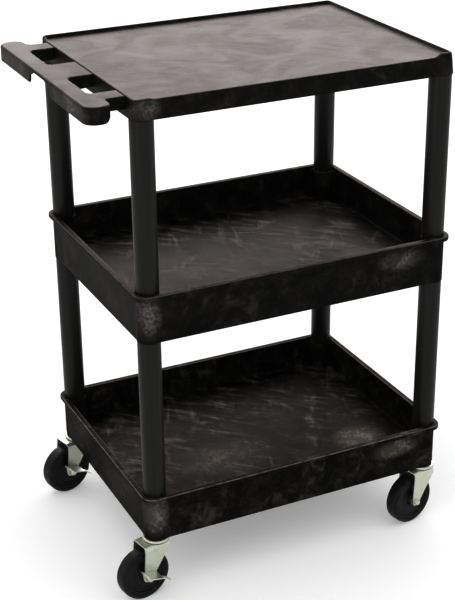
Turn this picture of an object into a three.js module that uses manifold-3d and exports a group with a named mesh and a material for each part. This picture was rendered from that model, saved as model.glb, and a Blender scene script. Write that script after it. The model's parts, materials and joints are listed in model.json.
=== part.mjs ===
// Rolling utility cart: a flat top shelf with a push handle, two tub shelves below it,
// eight tube legs between the shelves and four swivel stem casters, two of them braked.
// Millimetres, +Z up. The long side runs along X and the handle is on the -X end.
import * as THREE from 'three';
import { mergeVertices } from 'three/addons/utils/BufferGeometryUtils.js';
import Module from 'manifold-3d';

const wasm = await Module();
wasm.setup();

// ---- Driving dimensions -------------------------------------------------------------
const GAP = 0.3; // clearance kept between pieces that rest on each other

// Heights
const CASTER_HEIGHT = 122.6; // floor to the underside of the bottom tub
const TUB_HEIGHT = 92.9;
const LEG_LENGTH = 317.5; // between a seat and the shelf above
const SEAT_DROP = 4.7; // a leg's seat lies this far below the tub's rim
const SHELF_HEIGHT = 40.3; // top shelf, skirt bottom to lip top
const LIP_HEIGHT = 6.2;

// Legs
const LEG_X = 291.6; // leg centres
const LEG_Y = 211.5;
const LEG_RADIUS = 21.1;
const LEG_BORE_RADIUS = 17.7;
const SPIGOT_RADIUS = LEG_BORE_RADIUS - GAP;
const SPIGOT_LENGTH = 38;
const COLUMN_RADIUS = 22.1; // moulded corner column of a tub

// Tubs
const TUB_BASE = { x: 312.3, y: 232.0 }; // half sizes of the shell at its underside
const TUB_DRAFT = 2.4; // each wall leans out by this much up to the rim
const TUB_CORNER = 26;
const RIM = { x: 320.2, y: 239.9, corner: 18, depth: 9, edge: 1.6 };
const WALL = 5.6;
const FLOOR_TOP = 26.7;
const FLOOR_THICKNESS = 5;

// Top shelf
const SKIRT = { x: 312.5, y: 232.5 }; // half sizes at the skirt's bottom edge
const SHELF_TOP = { x: 307.8, y: 228 }; // half sizes at the lip
const SHELF_CORNER = 19;
const SHELF_EDGE = 2.5; // rounding of the lip's outer edge
const LIP_WIDTH = 8;
const LIP_CORNER = 11;
const LIP_GATE = 276; // the front lip is open between -LIP_GATE and +LIP_GATE
const DECK_THICKNESS = 6;
const SKIRT_WALL = 4.6;
const HOLLOW_DRAFT = 4; // the skirt's inner face leans in by this much up to the deck

// Ribs under the floors
const RIB_THICKNESS = 4;
const RIBS_ALONG_X = 2;
const RIBS_ALONG_Y = 6;
const RIB_DEPTH = 9; // below the floor

// Push handle
const HANDLE_TOP_DROP = 5.3; // below the lip's top
const HANDLE_OUTER = 394; // distance of the grip's outer face from the cart's centre plane
const GRIP_WIDTH = 35.5;
const HANDLE_HALF = 235; // half length of the grip
const ARM_HALF = 195; // outer sides of the end arms
const FINGER_OUTER = 150; // each finger opening runs between these two
const FINGER_INNER = 47;
const END_PAD = 49; // width of the bulged grip ends
const END_RADIUS = 20;
const HANDLE_PLATE = 4;
const HANDLE_WALL = 3.6;
const GRIP_DEPTH = 28.5;
const ARM_DEPTH = 22;
const MIDDLE_THIN = 50; // the grip is a bare plate within this distance of its middle
const ARM_END_BLOCK = 20; // solid end of each arm that takes the screw
const SCREW_RADIUS = 2.4;
const SCREW_LENGTH = 20;
const SCREW_HEAD = { radius: 5.5, height: 3 };
const SCREW_DROP = 14; // below the handle's top

// Casters, in the caster's own frame: swivel axis at x = 0, wheel trailing towards -X
const TRAIL = 31.7;
const WHEEL_RADIUS = 50.8;
const WHEEL_HALF_WIDTH = 15;
const TREAD_ROUND = 5;
const HUB_RADIUS = 35;
const HUB_BORE = 8.4;
const BUSHING_RADIUS = 8;
const AXLE_RADIUS = 4.7;
const FORK_HALF_WIDTH = 20;
const FORK_SHEET = 2.6;
const FORK_CROWN_TOP = 114;
const FORK_TIP_RADIUS = 8.6;
const FORK_TIP_END = -34; // degrees, where the tip's round meets the leading edge
const FORK_LEAD = 46; // the fork's leading edge, ahead of the axle
const FORK_REAR = 5.5; // the fork's rear edge, behind the axle
const CROWN_DISC = { radius: 24.5, top: 115 };
const CUP = { radius: 26, lip: 117.6, wall: 2.2 };
const RACE = { inner: 13, outer: 20, bottom: 115.4, top: 119.6 };
const STEM_RADIUS = 5.5;
const STEM_LENGTH = 44; // above the tub's underside
const RIVET = { radius: 10, height: 3 };
const NUT = { radius: 7.6, height: 6.4 };
const PEDAL_SHEET = 2;
const PEDAL_TILT = 16; // degrees, down towards the leading side
const PEDAL = { rear: 18, front: 15, reach: 30, rise: 9.6 };
const TONGUE = { length: 26, width: 11, drop: 36, offset: 12 };

const ROUND = 24; // sides of a leg or a column
const CUP_ROUND = 20;
const SMALL_ROUND = 16; // sides of a caster's turned pieces and of small holes
const WHEEL_ROUND = 36;
const ARC_STEPS = 5; // flats along each corner's arc

const CORNERS = [
  { name: 'front_left', x: -1, y: -1, yaw: 9.3, brake: true },
  { name: 'back_left', x: -1, y: 1, yaw: 13.3, brake: true },
  { name: 'front_right', x: 1, y: -1, yaw: 12.6, brake: false },
  { name: 'back_right', x: 1, y: 1, yaw: 8, brake: false },
];

// ---- Heights worked out from the driving dimensions ---------------------------------
const SEAT_HEIGHT = TUB_HEIGHT - SEAT_DROP;
const MIDDLE_TUB_Z = CASTER_HEIGHT + SEAT_HEIGHT + LEG_LENGTH;
const TOP_SHELF_Z = MIDDLE_TUB_Z + SEAT_HEIGHT + LEG_LENGTH;
const DECK_HEIGHT = SHELF_HEIGHT - LIP_HEIGHT;
const HANDLE_TOP_Z = TOP_SHELF_Z + SHELF_HEIGHT - HANDLE_TOP_DROP;
const SCREW_Z = HANDLE_TOP_Z - SCREW_DROP;
const ARM_MIDDLE = (ARM_HALF + FINGER_OUTER) / 2;
const SCREW_PLACES = { back: ARM_MIDDLE, middle: 0, front: -ARM_MIDDLE };
const EPS = 1; // overrun of a cutting tool past the face it opens

// ---- Materials -----------------------------------------------------------------------
function material(color, roughness, metalness) {
  return new THREE.MeshStandardMaterial({ color, roughness, metalness });
}

const black_plastic = () => material(0x2b2827, 0.62, 0);
const leg_plastic = () => material(0x1f1d1c, 0.45, 0);
const zinc_steel = () => material(0xb9bab0, 0.38, 0.9);
const wheel_rubber = () => material(0x161515, 0.7, 0);
const hub_plastic = () => material(0x1b1a19, 0.55, 0);
const bearing_steel = () => material(0x8d8f8c, 0.3, 0.9);

// ---- Solids ---------------------------------------------------------------------------
function signedVolume(positions, index) {
  const a = new THREE.Vector3();
  const b = new THREE.Vector3();
  const c = new THREE.Vector3();
  let sum = 0;
  for (let i = 0; i < index.length; i += 3) {
    a.fromArray(positions, 3 * index[i]);
    b.fromArray(positions, 3 * index[i + 1]);
    c.fromArray(positions, 3 * index[i + 2]);
    sum += a.dot(b.cross(c)) / 6;
  }
  return sum;
}

// Turns a closed three.js geometry into a solid whose faces point out.
function solid(geometry) {
  const bare = geometry.clone();
  bare.deleteAttribute('normal');
  bare.deleteAttribute('uv');
  const merged = mergeVertices(bare, 1e-4);
  const positions = merged.attributes.position.array;
  const source = merged.index.array;
  const index = [];
  for (let i = 0; i < source.length; i += 3) {
    const [a, b, c] = [source[i], source[i + 1], source[i + 2]];
    if (a !== b && b !== c && c !== a) index.push(a, b, c);
  }
  if (signedVolume(positions, index) < 0) index.reverse();
  const triVerts = new Uint32Array(index);
  return new wasm.Manifold(new wasm.Mesh({ numProp: 3, vertProperties: positions, triVerts }));
}

function geometryOf(manifold) {
  const { vertProperties, triVerts } = manifold.getMesh();
  const geometry = new THREE.BufferGeometry();
  geometry.setAttribute('position', new THREE.BufferAttribute(vertProperties, 3));
  geometry.setIndex(new THREE.BufferAttribute(triVerts, 1));
  geometry.computeVertexNormals();
  return geometry;
}

function piece(name, manifold, look) {
  const mesh = new THREE.Mesh(geometryOf(manifold), look);
  mesh.name = name;
  return mesh;
}

function box(x0, x1, y0, y1, z0, z1) {
  const geometry = new THREE.BoxGeometry(x1 - x0, y1 - y0, z1 - z0);
  geometry.translate((x0 + x1) / 2, (y0 + y1) / 2, (z0 + z1) / 2);
  return solid(geometry);
}

// A vertical cylinder.
function cylinder(x, y, radius, z0, z1, sides = ROUND) {
  const geometry = new THREE.CylinderGeometry(radius, radius, z1 - z0, sides);
  geometry.rotateX(Math.PI / 2);
  geometry.translate(x, y, (z0 + z1) / 2);
  return solid(geometry);
}

// A cylinder along Y, from y0 to y1.
function crossCylinder(x, z, radius, y0, y1, sides = ROUND) {
  const geometry = new THREE.CylinderGeometry(radius, radius, y1 - y0, sides);
  geometry.translate(x, (y0 + y1) / 2, z);
  return solid(geometry);
}

// A profile of [radius, z] points turned about the vertical axis.
function turned(profile, sides = ROUND) {
  const points = profile.map(([radius, z]) => new THREE.Vector2(radius, z));
  const geometry = new THREE.LatheGeometry(points, sides);
  geometry.rotateX(Math.PI / 2);
  return solid(geometry);
}

// A profile of [radius, y] points turned about the Y axis.
function turnedAcross(profile, sides = ROUND) {
  const points = profile.map(([radius, y]) => new THREE.Vector2(radius, y));
  return solid(new THREE.LatheGeometry(points, sides));
}

function roundedRectangle(x0, x1, y0, y1, radius) {
  const shape = new THREE.Shape();
  shape.absarc(x1 - radius, y1 - radius, radius, 0, Math.PI / 2, false);
  shape.absarc(x0 + radius, y1 - radius, radius, Math.PI / 2, Math.PI, false);
  shape.absarc(x0 + radius, y0 + radius, radius, Math.PI, 1.5 * Math.PI, false);
  shape.absarc(x1 - radius, y0 + radius, radius, 1.5 * Math.PI, 2 * Math.PI, false);
  return shape;
}

function extruded(shape, z0, z1) {
  const settings = { depth: z1 - z0, bevelEnabled: false, curveSegments: ARC_STEPS };
  const geometry = new THREE.ExtrudeGeometry(shape, settings);
  geometry.translate(0, 0, z0);
  return solid(geometry);
}

// A shape drawn in the X-Z plane and extruded along Y, from y0 to y1.
function extrudedAcross(shape, y0, y1) {
  const settings = { depth: y1 - y0, bevelEnabled: false, curveSegments: ARC_STEPS };
  const geometry = new THREE.ExtrudeGeometry(shape, settings);
  geometry.rotateX(Math.PI / 2);
  geometry.translate(0, y1, 0);
  return solid(geometry);
}

// A rounded block about the vertical axis whose half sizes change from level to level.
function draftedBlock(radius, levels) {
  const base = levels[0];
  const shape = roundedRectangle(-base.x, base.x, -base.y, base.y, radius);
  const steps = levels.length - 1;
  const settings = { depth: steps, steps, bevelEnabled: false, curveSegments: ARC_STEPS };
  const geometry = new THREE.ExtrudeGeometry(shape, settings);
  const position = geometry.attributes.position;
  for (let i = 0; i < position.count; i += 1) {
    const level = levels[Math.round(position.getZ(i))];
    const x = position.getX(i);
    const y = position.getY(i);
    position.setXYZ(i, x + Math.sign(x) * (level.x - base.x), y + Math.sign(y) * (level.y - base.y), level.z);
  }
  return solid(geometry);
}

// Evenly spaced positions strictly between -half and +half.
function spread(half, count) {
  return Array.from({ length: count }, (_, i) => half * (2 * (i + 1) / (count + 1) - 1));
}

// The grid of stiffening ribs under a floor.
function ribGrid(halfX, halfY, z0, z1) {
  const bars = [];
  for (const y of spread(halfY, RIBS_ALONG_X)) {
    bars.push(box(-halfX, halfX, y - RIB_THICKNESS / 2, y + RIB_THICKNESS / 2, z0, z1));
  }
  for (const x of spread(halfX, RIBS_ALONG_Y)) {
    bars.push(box(x - RIB_THICKNESS / 2, x + RIB_THICKNESS / 2, -halfY, halfY, z0, z1));
  }
  return bars.reduce((grid, bar) => grid.add(bar));
}

function atCorners(make) {
  return CORNERS.map((corner) => make(corner.x * LEG_X, corner.y * LEG_Y));
}

function addAll(body, extras) {
  return extras.reduce((sum, extra) => sum.add(extra), body);
}

function cutAll(body, tools) {
  return tools.reduce((sum, tool) => sum.subtract(tool), body);
}

// ---- Shelves ----------------------------------------------------------------------------
function spigot(x, y, z0, z1) {
  return cylinder(x, y, SPIGOT_RADIUS, z0, z1, SMALL_ROUND);
}

// A tub shelf, standing on z = 0: drafted walls under a rolled-out rim, a raised floor on
// ribs, and a round column in each corner that carries the legs.
function tubBody() {
  const underRim = TUB_HEIGHT - RIM.depth;
  const top = { x: TUB_BASE.x + TUB_DRAFT, y: TUB_BASE.y + TUB_DRAFT };
  const shell = draftedBlock(TUB_CORNER, [{ ...TUB_BASE, z: 0 }, { ...top, z: underRim + EPS }]);
  const rim = draftedBlock(RIM.corner, [
    { x: RIM.x, y: RIM.y, z: underRim },
    { x: RIM.x, y: RIM.y, z: TUB_HEIGHT - RIM.edge },
    { x: RIM.x - RIM.edge, y: RIM.y - RIM.edge, z: TUB_HEIGHT },
  ]);
  const tray = draftedBlock(TUB_CORNER - WALL, [
    { x: TUB_BASE.x - WALL, y: TUB_BASE.y - WALL, z: FLOOR_TOP },
    { x: top.x - WALL, y: top.y - WALL, z: TUB_HEIGHT + EPS },
  ]);
  const hollowTop = FLOOR_TOP - FLOOR_THICKNESS;
  const inner = { x: TUB_BASE.x - WALL, y: TUB_BASE.y - WALL };
  const hollow = draftedBlock(TUB_CORNER - WALL, [{ ...inner, z: -EPS }, { ...inner, z: hollowTop }]);
  const columns = atCorners((x, y) => cylinder(x, y, COLUMN_RADIUS, 0, SEAT_HEIGHT));
  const seats = atCorners((x, y) => cylinder(x, y, LEG_RADIUS + 2 * GAP, SEAT_HEIGHT, TUB_HEIGHT + EPS));
  const spigots = atCorners((x, y) => spigot(x, y, SEAT_HEIGHT - EPS, SEAT_HEIGHT + SPIGOT_LENGTH));
  const ribs = ribGrid(inner.x + EPS, inner.y + EPS, hollowTop - RIB_DEPTH, hollowTop + EPS);
  const body = cutAll(shell.add(rim), [tray, hollow]).add(ribs);
  return addAll(cutAll(addAll(body, columns), seats), spigots);
}

function middleTub() {
  return addAll(tubBody(), atCorners((x, y) => spigot(x, y, -SPIGOT_LENGTH, EPS)));
}

function bottomTub() {
  const depth = STEM_LENGTH + 2;
  return cutAll(tubBody(), atCorners((x, y) => cylinder(x, y, STEM_RADIUS + GAP, -EPS, depth, SMALL_ROUND)));
}

// Outside of the top shelf, grown by a margin; also the tool that trims the handle's arms.
function shelfOutside(margin, z0, z1) {
  const lean = (z) => (z / (SHELF_HEIGHT - SHELF_EDGE)) * (SKIRT.x - SHELF_TOP.x);
  const level = (z, inset) => {
    const change = margin - inset - lean(z);
    return { x: SKIRT.x + change, y: SKIRT.y + change, z };
  };
  const levels = [level(z0, 0), level(Math.min(z1, SHELF_HEIGHT - SHELF_EDGE), 0)];
  if (z1 >= SHELF_HEIGHT) levels.push({ ...level(SHELF_HEIGHT - SHELF_EDGE, SHELF_EDGE), z: z1 });
  return draftedBlock(SHELF_CORNER, levels);
}

// The top shelf, standing on z = 0: a flat deck with a low lip on three sides, a skirt
// that flares down to the legs, ribs below and a socketed column in each corner.
function topShelf() {
  const lip = { x: SHELF_TOP.x - LIP_WIDTH, y: SHELF_TOP.y - LIP_WIDTH };
  const deckPlan = roundedRectangle(-lip.x, lip.x, -lip.y, lip.y, LIP_CORNER);
  const deckCut = extruded(deckPlan, DECK_HEIGHT, SHELF_HEIGHT + EPS);
  const gate = box(-LIP_GATE, LIP_GATE, -SKIRT.y - EPS, -lip.y + LIP_CORNER, DECK_HEIGHT, SHELF_HEIGHT + EPS);
  const hollowTop = DECK_HEIGHT - DECK_THICKNESS;
  const inner = { x: SKIRT.x - SKIRT_WALL, y: SKIRT.y - SKIRT_WALL };
  const hollow = draftedBlock(SHELF_CORNER - SKIRT_WALL, [
    { ...inner, z: -EPS },
    { x: inner.x - HOLLOW_DRAFT, y: inner.y - HOLLOW_DRAFT, z: hollowTop },
  ]);
  const ribsFrom = hollowTop - RIB_DEPTH;
  const ribs = ribGrid(inner.x - HOLLOW_DRAFT + EPS, inner.y - HOLLOW_DRAFT + EPS, ribsFrom, hollowTop + EPS);
  const outside = shelfOutside(0, 0, SHELF_HEIGHT);
  const columns = atCorners((x, y) => cylinder(x, y, LEG_RADIUS, 0, hollowTop + EPS).intersect(outside));
  const spigots = atCorners((x, y) => spigot(x, y, -SPIGOT_LENGTH, EPS));
  const screwHoles = Object.values(SCREW_PLACES).map((y) => screwBore(y, SCREW_Z - TOP_SHELF_Z));
  const shell = cutAll(outside, [deckCut, gate, hollow]);
  return cutAll(addAll(shell.add(ribs), [...columns, ...spigots]), screwHoles);
}

// A hole along X through the shelf's -X skirt and into a handle arm.
function screwBore(y, z) {
  const geometry = new THREE.CylinderGeometry(SCREW_RADIUS + GAP, SCREW_RADIUS + GAP, SCREW_LENGTH + 8, 12);
  geometry.rotateZ(Math.PI / 2);
  geometry.translate(-SKIRT.x - SCREW_LENGTH / 2 + 9, y, z);
  return solid(geometry);
}

// ---- Push handle -------------------------------------------------------------------------
// The handle's plan, shrunk by an inset: a grip bar with bulged ends and three arms.
function handlePlan(inset, z0, z1, armEnd) {
  const outer = -HANDLE_OUTER + inset;
  const gripInner = -HANDLE_OUTER + GRIP_WIDTH - inset;
  const armStart = outer + END_RADIUS;
  const bar = box(outer, gripInner, -HANDLE_HALF + END_RADIUS, HANDLE_HALF - END_RADIUS, z0, z1);
  const parts = [box(armStart, armEnd, -FINGER_INNER + inset, FINGER_INNER - inset, z0, z1)];
  for (const side of [-1, 1]) {
    const ends = [side * (FINGER_OUTER + inset), side * (ARM_HALF - inset)].sort((a, b) => a - b);
    parts.push(box(armStart, armEnd, ends[0], ends[1], z0, z1));
    const padEnds = [side * (FINGER_OUTER + inset), side * (HANDLE_HALF - inset)].sort((a, b) => a - b);
    const padInner = -HANDLE_OUTER + END_PAD - inset;
    const pad = roundedRectangle(outer, padInner, padEnds[0], padEnds[1], END_RADIUS - inset);
    parts.push(extruded(pad, z0, z1));
  }
  return addAll(bar, parts);
}

// The handle hangs below z = 0, its top face.
function pushHandle() {
  const armEnd = -SHELF_TOP.x + 4;
  const blockStart = -SKIRT.x - ARM_END_BLOCK;
  const outside = handlePlan(0, -GRIP_DEPTH, 0, armEnd);
  const hollow = handlePlan(HANDLE_WALL, -GRIP_DEPTH - EPS, -HANDLE_PLATE, blockStart);
  const gripInner = -HANDLE_OUTER + GRIP_WIDTH;
  const armSide = ARM_HALF + EPS;
  const belowArms = box(gripInner + GAP, armEnd + EPS, -armSide, armSide, -GRIP_DEPTH - EPS, -ARM_DEPTH);
  const thinMiddle = box(
    -HANDLE_OUTER - EPS, gripInner, -MIDDLE_THIN, MIDDLE_THIN, -GRIP_DEPTH - EPS, -HANDLE_PLATE - 1,
  );
  const shelfZ = TOP_SHELF_Z - HANDLE_TOP_Z;
  const shelf = shelfOutside(2 * GAP, -1, SHELF_HEIGHT + EPS).translate([0, 0, shelfZ]);
  const bores = Object.values(SCREW_PLACES).map((y) => screwBore(y, -SCREW_DROP));
  return cutAll(outside, [hollow, belowArms, thinMiddle, shelf, ...bores]);
}

// A pan-head screw along -X, its head bearing on x = 0.
function handleScrew() {
  const profile = [
    [0, -SCREW_LENGTH], [SCREW_RADIUS, -SCREW_LENGTH], [SCREW_RADIUS, 0],
    [SCREW_HEAD.radius, 0], [SCREW_HEAD.radius * 0.8, SCREW_HEAD.height], [0, SCREW_HEAD.height],
  ];
  return turned(profile, 12).rotate([0, 90, 0]);
}

// ---- Legs -----------------------------------------------------------------------------------
function leg() {
  const [z0, z1] = [GAP, LEG_LENGTH - GAP];
  const [inner, outer] = [LEG_BORE_RADIUS, LEG_RADIUS];
  return turned([[inner, z0], [outer, z0], [outer, z1], [inner, z1], [inner, z0]]);
}

// ---- Casters --------------------------------------------------------------------------------
// The stem: pressed up into the tub's column, riveted over below the fork's crown.
function casterStem() {
  const crownUnder = FORK_CROWN_TOP - FORK_SHEET;
  const top = CASTER_HEIGHT + STEM_LENGTH;
  return turned([
    [0, crownUnder - GAP - RIVET.height],
    [RIVET.radius * 0.7, crownUnder - GAP - RIVET.height],
    [RIVET.radius, crownUnder - GAP],
    [STEM_RADIUS, crownUnder - GAP],
    [STEM_RADIUS, top - 3],
    [STEM_RADIUS - 2, top],
    [0, top],
  ], SMALL_ROUND);
}

// The fixed upper race: a dished cup with its lip turned down over the balls.
function swivelCup() {
  const top = CASTER_HEIGHT - GAP;
  const bore = STEM_RADIUS + GAP;
  return turned([
    [bore, top], [CUP.radius - 2, top], [CUP.radius, top - 2], [CUP.radius, CUP.lip],
    [CUP.radius - CUP.wall, CUP.lip], [CUP.radius - CUP.wall, top - CUP.wall],
    [bore, top - CUP.wall], [bore, top],
  ], CUP_ROUND);
}

// The ring of balls in its cage, which lies between the cup and the fork's crown.
function ballRace() {
  const ring = (RACE.outer - RACE.inner) / 2;
  const middle = (RACE.outer + RACE.inner) / 2;
  const height = (RACE.top + RACE.bottom) / 2;
  const half = (RACE.top - RACE.bottom) / 2;
  const sides = 6;
  const profile = Array.from({ length: sides + 1 }, (_, i) => {
    const angle = (i % sides) * 2 * Math.PI / sides;
    return [middle + ring * Math.cos(angle), height + half * Math.sin(angle)];
  });
  return turned(profile, SMALL_ROUND);
}

// Side view of the fork: a rounded tip at the axle that widens up to the crown.
function forkOutline() {
  const shape = new THREE.Shape();
  const tipEnd = 2 * Math.PI + THREE.MathUtils.degToRad(FORK_TIP_END);
  shape.absarc(-TRAIL, WHEEL_RADIUS, FORK_TIP_RADIUS, Math.PI, tipEnd, false);
  shape.lineTo(-TRAIL + FORK_LEAD, FORK_CROWN_TOP - 10);
  shape.lineTo(-TRAIL + FORK_LEAD, FORK_CROWN_TOP - 3);
  shape.lineTo(-TRAIL + FORK_LEAD - 3, FORK_CROWN_TOP);
  shape.lineTo(-TRAIL - FORK_REAR, FORK_CROWN_TOP);
  shape.lineTo(-TRAIL - FORK_REAR, FORK_CROWN_TOP - 8);
  shape.closePath();
  return shape;
}

function casterFork() {
  const crownUnder = FORK_CROWN_TOP - FORK_SHEET;
  const inside = FORK_HALF_WIDTH - FORK_SHEET;
  const channel = box(-WHEEL_RADIUS * 2, WHEEL_RADIUS, -inside, inside, 0, crownUnder);
  const disc = cylinder(0, 0, CROWN_DISC.radius, crownUnder, CROWN_DISC.top, CUP_ROUND);
  const pivot = cylinder(0, 0, STEM_RADIUS + GAP, crownUnder - EPS, CROWN_DISC.top + EPS, SMALL_ROUND);
  const reach = FORK_HALF_WIDTH + EPS;
  const axle = crossCylinder(-TRAIL, WHEEL_RADIUS, AXLE_RADIUS + GAP, -reach, reach, SMALL_ROUND);
  const sides = extrudedAcross(forkOutline(), -FORK_HALF_WIDTH, FORK_HALF_WIDTH).subtract(channel);
  return cutAll(sides.add(disc), [pivot, axle]);
}

// The pieces below are centred on the axle, which runs along Y.
function wheelTyre() {
  const [r, w, e] = [WHEEL_RADIUS, WHEEL_HALF_WIDTH, TREAD_ROUND];
  const inner = HUB_RADIUS + GAP;
  const half = [[inner, w - 1.5], [r - 1.6 * e, w], [r - e * 0.6, w - e * 0.3], [r, w - 1.4 * e]];
  const mirrored = half.map(([radius, y]) => [radius, -y]).reverse();
  return turnedAcross([...half, ...mirrored, half[0]], WHEEL_ROUND);
}

function wheelHub() {
  const web = WHEEL_HALF_WIDTH - 3;
  const boss = FORK_HALF_WIDTH - FORK_SHEET - 1;
  const half = [[HUB_BORE, boss], [13, boss], [14.5, web], [HUB_RADIUS, web]];
  const mirrored = half.map(([radius, y]) => [radius, -y]).reverse();
  return turnedAcross([...half, ...mirrored, half[0]], CUP_ROUND);
}

function axleBushing() {
  const half = FORK_HALF_WIDTH - FORK_SHEET - GAP;
  const bore = AXLE_RADIUS + GAP;
  const outer = BUSHING_RADIUS;
  const profile = [[bore, -half], [outer, -half], [outer, half], [bore, half], [bore, -half]];
  return turnedAcross(profile, SMALL_ROUND);
}

// The bolt's head is on the +Y side; the nut is outside whatever the -Y side carries.
function axleBolt(outboard) {
  const headY = FORK_HALF_WIDTH + GAP;
  const tip = -(FORK_HALF_WIDTH + outboard + NUT.height + 3);
  const shank = crossCylinder(0, 0, AXLE_RADIUS, tip, headY + EPS, SMALL_ROUND);
  return shank.add(crossCylinder(0, 0, NUT.radius, headY, headY + NUT.height * 0.8, 6));
}

function axleNut(outboard) {
  const y1 = -(FORK_HALF_WIDTH + outboard + GAP);
  const ring = crossCylinder(0, 0, NUT.radius, y1 - NUT.height, y1, 6);
  return ring.subtract(crossCylinder(0, 0, AXLE_RADIUS + GAP, y1 - NUT.height - EPS, y1 + EPS, SMALL_ROUND));
}

// The foot pedal: a web on the axle, a tread folded outwards over it with a turned-up rear
// edge, and a narrow tongue that slopes down ahead of it.
function brakePedal() {
  const y1 = -(FORK_HALF_WIDTH + GAP);
  const y0 = y1 - PEDAL_SHEET;
  const web = crossCylinder(0, 0, FORK_TIP_RADIUS + 1.5, y0, y1, SMALL_ROUND);
  const neck = box(-11, 11, y0, y1, 0, PEDAL.rise + 0.5);
  const tread = box(-PEDAL.rear, PEDAL.front, y1 - PEDAL.reach, y1, 0, PEDAL_SHEET);
  const edge = box(-PEDAL.rear, -PEDAL.rear + PEDAL_SHEET, y1 - PEDAL.reach, y1, 0, 5.5);
  const tongueY = y1 - TONGUE.offset;
  const tongue = box(-EPS, TONGUE.length, tongueY - TONGUE.width, tongueY, 0, PEDAL_SHEET)
    .rotate([0, TONGUE.drop - PEDAL_TILT, 0])
    .translate([PEDAL.front - EPS, 0, 0]);
  const plate = tread.add(edge).add(tongue).rotate([0, PEDAL_TILT, 0]).translate([0, 0, PEDAL.rise]);
  const bore = crossCylinder(0, 0, AXLE_RADIUS + GAP, y0 - EPS, y1 + EPS, SMALL_ROUND);
  return web.add(neck).add(plate).subtract(bore);
}

function caster(corner) {
  const group = new THREE.Group();
  group.position.set(corner.x * LEG_X, corner.y * LEG_Y, 0);
  group.rotation.z = THREE.MathUtils.degToRad(corner.yaw);
  const outboard = corner.brake ? PEDAL_SHEET + GAP : 0;
  group.add(piece(`caster_stem_${corner.name}`, casterStem(), zinc_steel()));
  group.add(piece(`swivel_cup_${corner.name}`, swivelCup(), zinc_steel()));
  group.add(piece(`ball_race_${corner.name}`, ballRace(), bearing_steel()));
  group.add(piece(`caster_fork_${corner.name}`, casterFork(), zinc_steel()));

  const axle = new THREE.Group();
  axle.position.set(-TRAIL, 0, WHEEL_RADIUS);
  axle.add(piece(`wheel_tyre_${corner.name}`, wheelTyre(), wheel_rubber()));
  axle.add(piece(`wheel_hub_${corner.name}`, wheelHub(), hub_plastic()));
  axle.add(piece(`axle_bushing_${corner.name}`, axleBushing(), bearing_steel()));
  axle.add(piece(`axle_bolt_${corner.name}`, axleBolt(outboard), zinc_steel()));
  axle.add(piece(`axle_nut_${corner.name}`, axleNut(outboard), zinc_steel()));
  if (corner.brake) axle.add(piece(`brake_pedal_${corner.name}`, brakePedal(), zinc_steel()));
  group.add(axle);
  return group;
}

// ---- Assembly -------------------------------------------------------------------------------
function placed(mesh, x, y, z) {
  mesh.position.set(x, y, z);
  return mesh;
}

const cart = new THREE.Group();
cart.add(placed(piece('top_shelf', topShelf(), black_plastic()), 0, 0, TOP_SHELF_Z));
cart.add(placed(piece('push_handle', pushHandle(), black_plastic()), 0, 0, HANDLE_TOP_Z));
cart.add(placed(piece('middle_tub', middleTub(), black_plastic()), 0, 0, MIDDLE_TUB_Z));
cart.add(placed(piece('bottom_tub', bottomTub(), black_plastic()), 0, 0, CASTER_HEIGHT));

const screwSeat = -SKIRT.x + SKIRT_WALL + HOLLOW_DRAFT + GAP;
for (const [place, y] of Object.entries(SCREW_PLACES)) {
  cart.add(placed(piece(`handle_screw_${place}`, handleScrew(), zinc_steel()), screwSeat, y, SCREW_Z));
}

for (const corner of CORNERS) {
  const [x, y] = [corner.x * LEG_X, corner.y * LEG_Y];
  const seats = { upper: MIDDLE_TUB_Z + SEAT_HEIGHT, lower: CASTER_HEIGHT + SEAT_HEIGHT };
  for (const [level, seat] of Object.entries(seats)) {
    cart.add(placed(piece(`${level}_leg_${corner.name}`, leg(), leg_plastic()), x, y, seat));
  }
  cart.add(caster(corner));
}

// The origin is the middle of the object's footprint, on the floor.
cart.updateMatrixWorld(true);
const bounds = new THREE.Box3().setFromObject(cart, true);
const centre = bounds.getCenter(new THREE.Vector3());
cart.position.set(-centre.x, -centre.y, -bounds.min.z);

export default cart;
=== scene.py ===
"""Rolling utility cart: the looks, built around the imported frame.

Shapes are worked out in millimetres and written to meshes in metres. X and Y of a shelf are
measured from the shelf's own centre, heights from the shelf's own underside.
"""

import json
import math

import bmesh
import bpy
import numpy as np
from mathutils import Matrix, Vector


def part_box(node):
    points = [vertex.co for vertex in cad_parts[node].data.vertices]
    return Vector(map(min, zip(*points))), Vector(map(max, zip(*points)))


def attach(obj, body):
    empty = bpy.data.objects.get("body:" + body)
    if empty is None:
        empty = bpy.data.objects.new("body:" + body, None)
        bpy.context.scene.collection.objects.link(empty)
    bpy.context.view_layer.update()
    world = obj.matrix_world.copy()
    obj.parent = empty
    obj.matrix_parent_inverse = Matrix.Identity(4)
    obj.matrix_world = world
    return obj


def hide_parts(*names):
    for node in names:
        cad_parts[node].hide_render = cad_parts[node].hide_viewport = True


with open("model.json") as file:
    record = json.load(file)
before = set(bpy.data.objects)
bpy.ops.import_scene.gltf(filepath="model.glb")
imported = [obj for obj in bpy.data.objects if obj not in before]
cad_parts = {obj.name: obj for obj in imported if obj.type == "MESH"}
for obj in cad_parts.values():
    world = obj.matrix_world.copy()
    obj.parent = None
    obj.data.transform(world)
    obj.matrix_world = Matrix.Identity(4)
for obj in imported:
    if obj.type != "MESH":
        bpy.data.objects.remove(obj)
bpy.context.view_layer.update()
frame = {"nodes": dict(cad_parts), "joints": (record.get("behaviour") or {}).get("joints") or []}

MM = 0.001
JOINTS = {joint["name"]: joint for joint in frame["joints"]}
CORNERS = ("front_left", "back_left", "front_right", "back_right")
BRAKED = ("front_left", "back_left")

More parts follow.
